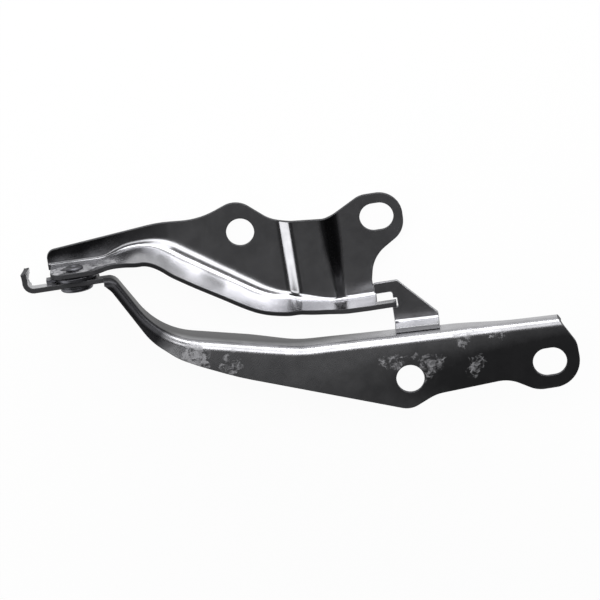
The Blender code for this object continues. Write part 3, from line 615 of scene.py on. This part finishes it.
class HINGE_OT_bracket(bpy.types.Operator):
    """Press the body bracket: flange with two bolt pads and a bridge, tilted web, tongue"""

    bl_idname = "hinge.bracket"
    bl_label = "Body bracket"

    def execute(self, context):
        sizes, look = context.scene.hinge_sizes, context.scene.hinge_finishes
        rough = bent_sheet(
            "rough_bracket", BRACKET_FOLD, 1.0, 1.0,
            lambda x: bracket_level(x, sizes.bridge_rise), lambda at: follow(BRACKET_BEND, at.x),
            lambda at: follow(BRACKET_TILT, at.x), lambda at: follow(BRACKET_EDGE, at.x), BEYOND,
            sizes.sheet, (black_zinc("black_zinc_bracket", look.plate_roughness, BRACKET_PAINTED_SHADE,
                                      BRACKET_PAINTED_SHEEN),
                          sheared_edge(look)))
        inside = plate("bracket_plan", rounded(BRACKET_PLAN), -BEYOND, BEYOND)
        cut(rough, [inside], "INTERSECT")
        clear = bracket_level(WEB_END_X, 0.0) + WEB_CLEAR
        corner = (WEB_END_X + WEB_END_R, WEB_TOP - WEB_END_R)
        end = [(-BEYOND, clear), (WEB_END_X, clear), *circle(corner, WEB_END_R, 180.0, 90.0),
               (corner[0], BEYOND), (-BEYOND, BEYOND)]
        left, right = RELIEF_X
        relief = rounded([(left, -BEYOND, 0.0), (right, -BEYOND, 0.0),
                          (right, RELIEF_TOP, RELIEF_R), (left, RELIEF_TOP, RELIEF_R)])
        left, right = TONGUE_X
        under = [(left, -BEYOND), (right, -BEYOND), (right, TONGUE_LOW), (left, TONGUE_LOW)]
        rivet_bore = circle((0.0, PIVOT_Z), RIVET_BORE_R)[:-1]
        gauge_hole = circle(GAUGE_HOLE, GAUGE_HOLE_R)[:-1]
        tools = [
            plate("web_end", end, WEB_CUT_BACK, END_CUT, True),
            plate("tongue_under", under, -BEYOND, TONGUE_FACE, True),
            plate("relief", relief, WEB_CUT_BACK, RELIEF_CUT, True),
            plate("rivet_bore", rivet_bore, WEB_CUT_BACK, BORE_CUT, True),
            plate("gauge_hole", gauge_hole, WEB_CUT_BACK, BORE_CUT, True),
            plate("body_hole", hole_outline(BODY_HOLE, sizes.bolt_hole, sizes), -BEYOND, BEYOND),
            plate("body_slot", hole_outline(BODY_SLOT, sizes.slot_length, sizes), -BEYOND, BEYOND)]
        cut(rough, tools)
        made = finish_pressing(rough, [inside, *tools], "bracket_pressing", sizes.edge_round)
        enter(made, "bracket", "bracket_plate", "body_bracket")
        return {"FINISHED"}


class HINGE_OT_arm(bpy.types.Operator):
    """Press the bonnet arm: tail with its stop finger, boss, swan neck, flange with two lugs"""

    bl_idname = "hinge.arm"
    bl_label = "Bonnet arm"

    def execute(self, context):
        sizes, look = context.scene.hinge_sizes, context.scene.hinge_finishes
        plate_look = black_zinc("black_zinc_arm", look.plate_roughness * ARM_ROUGHER,
                                ARM_PAINTED_SHADE, ARM_SMEARS_AND_SHEEN)
        rough = bent_sheet("rough_arm", ARM_FOLD, -1.0, -1.0, arm_level, lambda at: ARM_BEND,
                           finger_lean, lambda at: follow(ARM_EDGE, at.x), -2.0 * BEYOND,
                           sizes.sheet, (plate_look, sheared_edge(look)))
        inside = plate("arm_plan", rounded(ARM_PLAN), -BEYOND, 2.0 * BEYOND)
        cut(rough, [inside], "INTERSECT")
        above = [(-BEYOND, NECK_TOP), (NECK_X, NECK_TOP), (NECK_X, BEYOND),
                 (-BEYOND, BEYOND)]
        edge = [(-BEYOND, FINGER_LOW), (FINGER_STEP[0], FINGER_LOW), FINGER_STEP,
                *circle((0.0, PIVOT_Z), BOSS_R, BOSS_FROM, BOSS_TO), NECK_END,
                (NECK_END[0], -BEYOND), (-BEYOND, -BEYOND)]
        tools = [
            plate("above_pivot", above, -BEYOND, BEYOND, True),
            plate("below_web", edge, -BEYOND, BEYOND, True),
            plate("bush_bore", circle((0.0, PIVOT_Z), BUSH_BORE_R)[:-1], *BUSH_CUT, True),
            plate("bonnet_hole", hole_outline(BONNET_HOLE, sizes.bolt_hole, sizes), -BEYOND,
                  2.0 * BEYOND),
            plate("bonnet_slot", hole_outline(BONNET_SLOT, sizes.slot_length, sizes), -BEYOND,
                  2.0 * BEYOND)]
        cut(rough, tools)
        made = finish_pressing(rough, [inside, *tools], "arm_pressing", sizes.edge_round)
        enter(made, "arm", "arm_plate", "hood_arm")
        return {"FINISHED"}


class HINGE_OT_catch(bpy.types.Operator):
    """Press the catch hook, welded to the arm's web"""

    bl_idname = "hinge.catch"
    bl_label = "Catch hook"

    def execute(self, context):
        sizes, look = context.scene.hinge_sizes, context.scene.hinge_finishes
        (x0, y0, _), (x1, y1, _) = ARM_FOLD[-2:]
        fold = [(x, y0 + (y1 - y0) * (x - x0) / (x1 - x0) + sizes.sheet + PIECE_GAP, 0.0)
                for x in CATCH_X]
        rough = bent_sheet("rough_catch", fold, 1.0, 1.0, lambda x: CATCH_TOP,
                           lambda at: CATCH_BEND, lambda at: 0.0, lambda at: CATCH_EDGE, 0.0,
                           sizes.sheet,
                           (black_zinc("black_zinc_catch", look.plate_roughness),
                            dull_metal("black_zinc_welded_edge", look.plate, WELD_ROUGHNESS)))
        inside = plate("catch_plan", rounded(CATCH_PLAN), 0.0, BEYOND)
        cut(rough, [inside], "INTERSECT")
        made = finish_pressing(rough, [inside], "catch_pressing", sizes.edge_round)
        enter(made, "arm", "catch_plate", "catch_hook")
        return {"FINISHED"}


class HINGE_OT_pivot(bpy.types.Operator):
    """Turn the rivet and its washer, stamp the spacer, and dress the hidden bush"""

    bl_idname = "hinge.pivot"
    bl_label = "Pivot"

    def execute(self, context):
        sizes, look = context.scene.hinge_sizes, context.scene.hinge_finishes
        steel = dull_metal("phosphated_steel", look.phosphate, STEEL_ROUGHNESS)
        shank, bore = sizes.shank / 2.0, sizes.shank / 2.0 + PIECE_GAP
        rivet = [(radius, HEAD_BACK + rise) for radius, rise in RIVET_HEAD]
        rivet += [(HEAD_R, HEAD_FACE), (shank, HEAD_FACE), (shank, END_FACE)]
        rivet += [(radius, END_FACE + rise) for radius, rise in RIVET_END]
        enter(turned("rivet_turned", rivet, steel, TURNED_EDGE), "bracket", "rivet_steel",
              "pivot_rivet")
        washer = [(bore, WASHER_BACK), (WASHER_R, WASHER_BACK), (WASHER_R, WASHER_FACE),
                  (bore, WASHER_FACE)]
        enter(turned("washer_stamped", washer, steel, TURNED_EDGE), "bracket",
              "washer_steel", "head_washer")
        side = math.degrees(math.asin(SPACER_EAR_HALF / SPACER_R))
        outline = circle((0.0, PIVOT_Z), SPACER_R, 180.0 - side, side - 180.0)
        outline += [(-SPACER_EAR_REACH, PIVOT_Z - SPACER_EAR_HALF),
                    (-SPACER_EAR_REACH, PIVOT_Z + SPACER_EAR_HALF)]
        disc = plate("rough_spacer", outline, SPACER_BACK, SPACER_FACE, True, steel)
        hole = plate("spacer_bore", circle((0.0, PIVOT_Z), bore)[:-1], *SPACER_CUT, True)
        cut(disc, [hole])
        spacer = finish_pressing(disc, [hole], "spacer_stamped", STAMPED_EDGE)
        enter(spacer, "bracket", "spacer_steel", "spacer_disc")
        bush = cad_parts["pivot_bush"]
        bush.data.materials.clear()
        bush.data.materials.append(dull_metal("sintered_bronze", look.bronze, BRONZE_ROUGHNESS))
        return {"FINISHED"}


class HINGE_OT_stage(bpy.types.Operator):
    """Set the pale floor, the soft lamps and the photograph's camera"""

    bl_idname = "hinge.stage"
    bl_label = "Stage"

    def execute(self, context):
        scene = context.scene
        stage, look = scene.hinge_stage, scene.hinge_finishes
        self.floor(stage, look)
        self.sky(scene)
        self.lamps(scene, stage)
        self.camera(scene, stage)
        scene.view_settings.view_transform = "Standard"
        return {"FINISHED"}

    def floor(self, stage, look):
        """Pale paper: white to the camera and to reflections, but for the object's shadow."""
        mesh = bpy.data.meshes.new("pale_floor")
        shape = bmesh.new()
        bmesh.ops.create_grid(shape, x_segments=1, y_segments=1, size=FLOOR_HALF)
        bmesh.ops.translate(shape, verts=shape.verts, vec=(0.0, 0.0, stage.floor_level))
        shape.to_mesh(mesh)
        shape.free()
        floor = bpy.data.objects.new("pale_floor", mesh)
        bpy.context.collection.objects.link(floor)
        made = bpy.data.materials.new("pale_paper_floor")
        made.use_nodes = True
        tree = made.node_tree
        tree.nodes.clear()
        paper = add(tree, "ShaderNodeBsdfDiffuse", Color=linear(look.floor))
        white = add(tree, "ShaderNodeEmission", Strength=1.0)
        ray = add(tree, "ShaderNodeLightPath").outputs
        seen = add(tree, "ShaderNodeMath", {0: ray["Is Camera Ray"], 1: ray["Is Glossy Ray"]},
                   operation="ADD")
        seen = add(tree, "ShaderNodeMath",
                   {0: seen.outputs[0], 1: ray["Is Transmission Ray"]}, operation="ADD",
                   use_clamp=True)
        share = add(tree, "ShaderNodeMath", {0: seen.outputs[0]}, operation="MULTIPLY")
        share.inputs[1].default_value = FLOOR_WHITE
        both = add(tree, "ShaderNodeMixShader", {0: share.outputs[0], 1: paper.outputs[0],
                                                 2: white.outputs[0]})
        add(tree, "ShaderNodeOutputMaterial", {"Surface": both.outputs[0]})
        mesh.materials.append(made)

    def sky(self, scene):
        """White along the horizon, dark above it, and a dim ceiling but for the pivot's side."""
        world = bpy.data.worlds.new("soft_studio")
        scene.world = world
        world.use_nodes = True
        tree = world.node_tree
        tree.nodes.clear()
        way = add(tree, "ShaderNodeTexCoord").outputs["Generated"]
        axes = add(tree, "ShaderNodeSeparateXYZ", {"Vector": way}).outputs
        horizon = add(tree, "ShaderNodeMapRange", {"Value": axes["Z"]},
                      interpolation_type="SMOOTHSTEP", From_Min=0.02, From_Max=0.2, To_Min=1.0,
                      To_Max=0.02)
        ceiling = add(tree, "ShaderNodeMapRange", {"Value": axes["Z"]},
                      interpolation_type="SMOOTHSTEP", From_Min=0.78, From_Max=0.95,
                      To_Max=0.095)
        beside = add(tree, "ShaderNodeMapRange", {"Value": axes["X"]},
                     interpolation_type="SMOOTHSTEP", From_Min=-0.19, From_Max=-0.06)
        level = add(tree, "ShaderNodeMath", {0: ceiling.outputs[0], 1: beside.outputs[0],
                                             2: horizon.outputs[0]}, operation="MULTIPLY_ADD")
        light = add(tree, "ShaderNodeBackground", {"Strength": level.outputs[0]})
        light.inputs["Color"].default_value = (1.0, 1.0, 1.0, 1.0)
        add(tree, "ShaderNodeOutputWorld", {"Surface": light.outputs[0]})

    def lamps(self, scene, stage):
        """Soft boxes: a low, a middle and a high one on the +Y side, one past the pivot."""
        for name, way, size, share in SOFTBOXES:
            data = bpy.data.lights.new(name, "AREA")
            data.shape = "RECTANGLE"
            data.size, data.size_y = size
            data.energy = stage.key_power * share
            lamp = bpy.data.objects.new(name, data)
            scene.collection.objects.link(lamp)
            lamp.location = STAGE_MIDDLE + Vector(way).normalized() * SOFTBOX_FAR
            back = lamp.location - STAGE_MIDDLE
            lamp.rotation_euler = back.to_track_quat("Z", "Y").to_euler()

    def camera(self, scene, stage):
        """A long lens from the photograph's side, high above the floor."""
        turn, height = stage.camera_turn, stage.camera_height
        right = Vector((math.cos(turn), -math.sin(turn), 0.0))
        plan_up = Vector((math.sin(turn), math.cos(turn), 0.0))
        up = plan_up * math.sin(height) - Vector((0.0, 0.0, math.cos(height)))
        back = plan_up * math.cos(height) + Vector((0.0, 0.0, math.sin(height)))
        centre = right * PICTURE_RIGHT - up * PICTURE_BELOW - PICTURE_FROM
        data = bpy.data.cameras.new("photo_camera")
        data.lens = 0.5 * data.sensor_width * stage.camera_far / (0.5 * stage.picture_width)
        data.clip_start, data.clip_end = 0.1, 100.0
        made = bpy.data.objects.new("photo_camera", data)
        scene.collection.objects.link(made)
        made.location = centre + back * stage.camera_far
        made.rotation_euler = Matrix((right, up, back)).transposed().to_euler()
        scene.camera = made


OPERATORS = (HINGE_OT_bracket, HINGE_OT_arm, HINGE_OT_catch, HINGE_OT_pivot, HINGE_OT_stage)


class HINGE_PT_panel(bpy.types.Panel):
    """Buttons that build the hinge"""

    bl_idname = "HINGE_PT_panel"
    bl_label = "Bonnet Hinge"
    bl_space_type = "VIEW_3D"
    bl_region_type = "UI"
    bl_category = "Bonnet Hinge"

    def draw(self, context):
        layout = self.layout
        scene = context.scene
        for group in (scene.hinge_sizes, scene.hinge_finishes, scene.hinge_stage):
            for name in group.__annotations__:
                layout.prop(group, name)
        for operator in OPERATORS:
            layout.operator(operator.bl_idname)


CLASSES = (HingeSizes, HingeFinishes, HingeStage, *OPERATORS, HINGE_PT_panel)


def register():
    for one in CLASSES:
        bpy.utils.register_class(one)
    bpy.types.Scene.hinge_sizes = bpy.props.PointerProperty(type=HingeSizes)
    bpy.types.Scene.hinge_finishes = bpy.props.PointerProperty(type=HingeFinishes)
    bpy.types.Scene.hinge_stage = bpy.props.PointerProperty(type=HingeStage)


def unregister():
    del bpy.types.Scene.hinge_stage
    del bpy.types.Scene.hinge_finishes
    del bpy.types.Scene.hinge_sizes
    for one in reversed(CLASSES):
        bpy.utils.unregister_class(one)


def main():
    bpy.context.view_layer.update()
    register()
    bpy.ops.hinge.bracket()
    bpy.ops.hinge.arm()
    bpy.ops.hinge.catch()
    bpy.ops.hinge.pivot()
    bpy.ops.hinge.stage()


if __name__ == "__main__":
    main()
